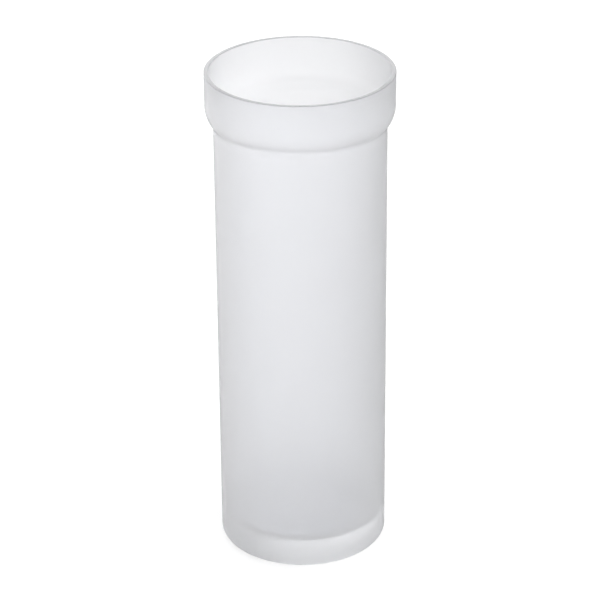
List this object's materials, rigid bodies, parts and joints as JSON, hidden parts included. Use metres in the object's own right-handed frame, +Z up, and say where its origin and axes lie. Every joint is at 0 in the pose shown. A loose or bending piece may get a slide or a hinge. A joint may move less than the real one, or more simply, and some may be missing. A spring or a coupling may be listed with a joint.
{
  "type": "glass tumbler",
  "caption": "Tall satin glass tumbler with a stepped collar on a rounded shoulder and a heavy base; stands on its base or hangs by its collar in a ring holder.",
  "frame": {"origin": "centre of the plane that the glass stands on, under its base", "axes": "+Z up along the axis of the glass, from the base to the rim; the glass is round, so X and Y are alike"},
  "size_m": [0.0876, 0.0876, 0.24],
  "materials": {
    "satin_glass": "satin, acid etched inside and out"
  },
  "bodies": {
    "root": {"glass_body": "satin_glass"}
  },
  "joints": []
}
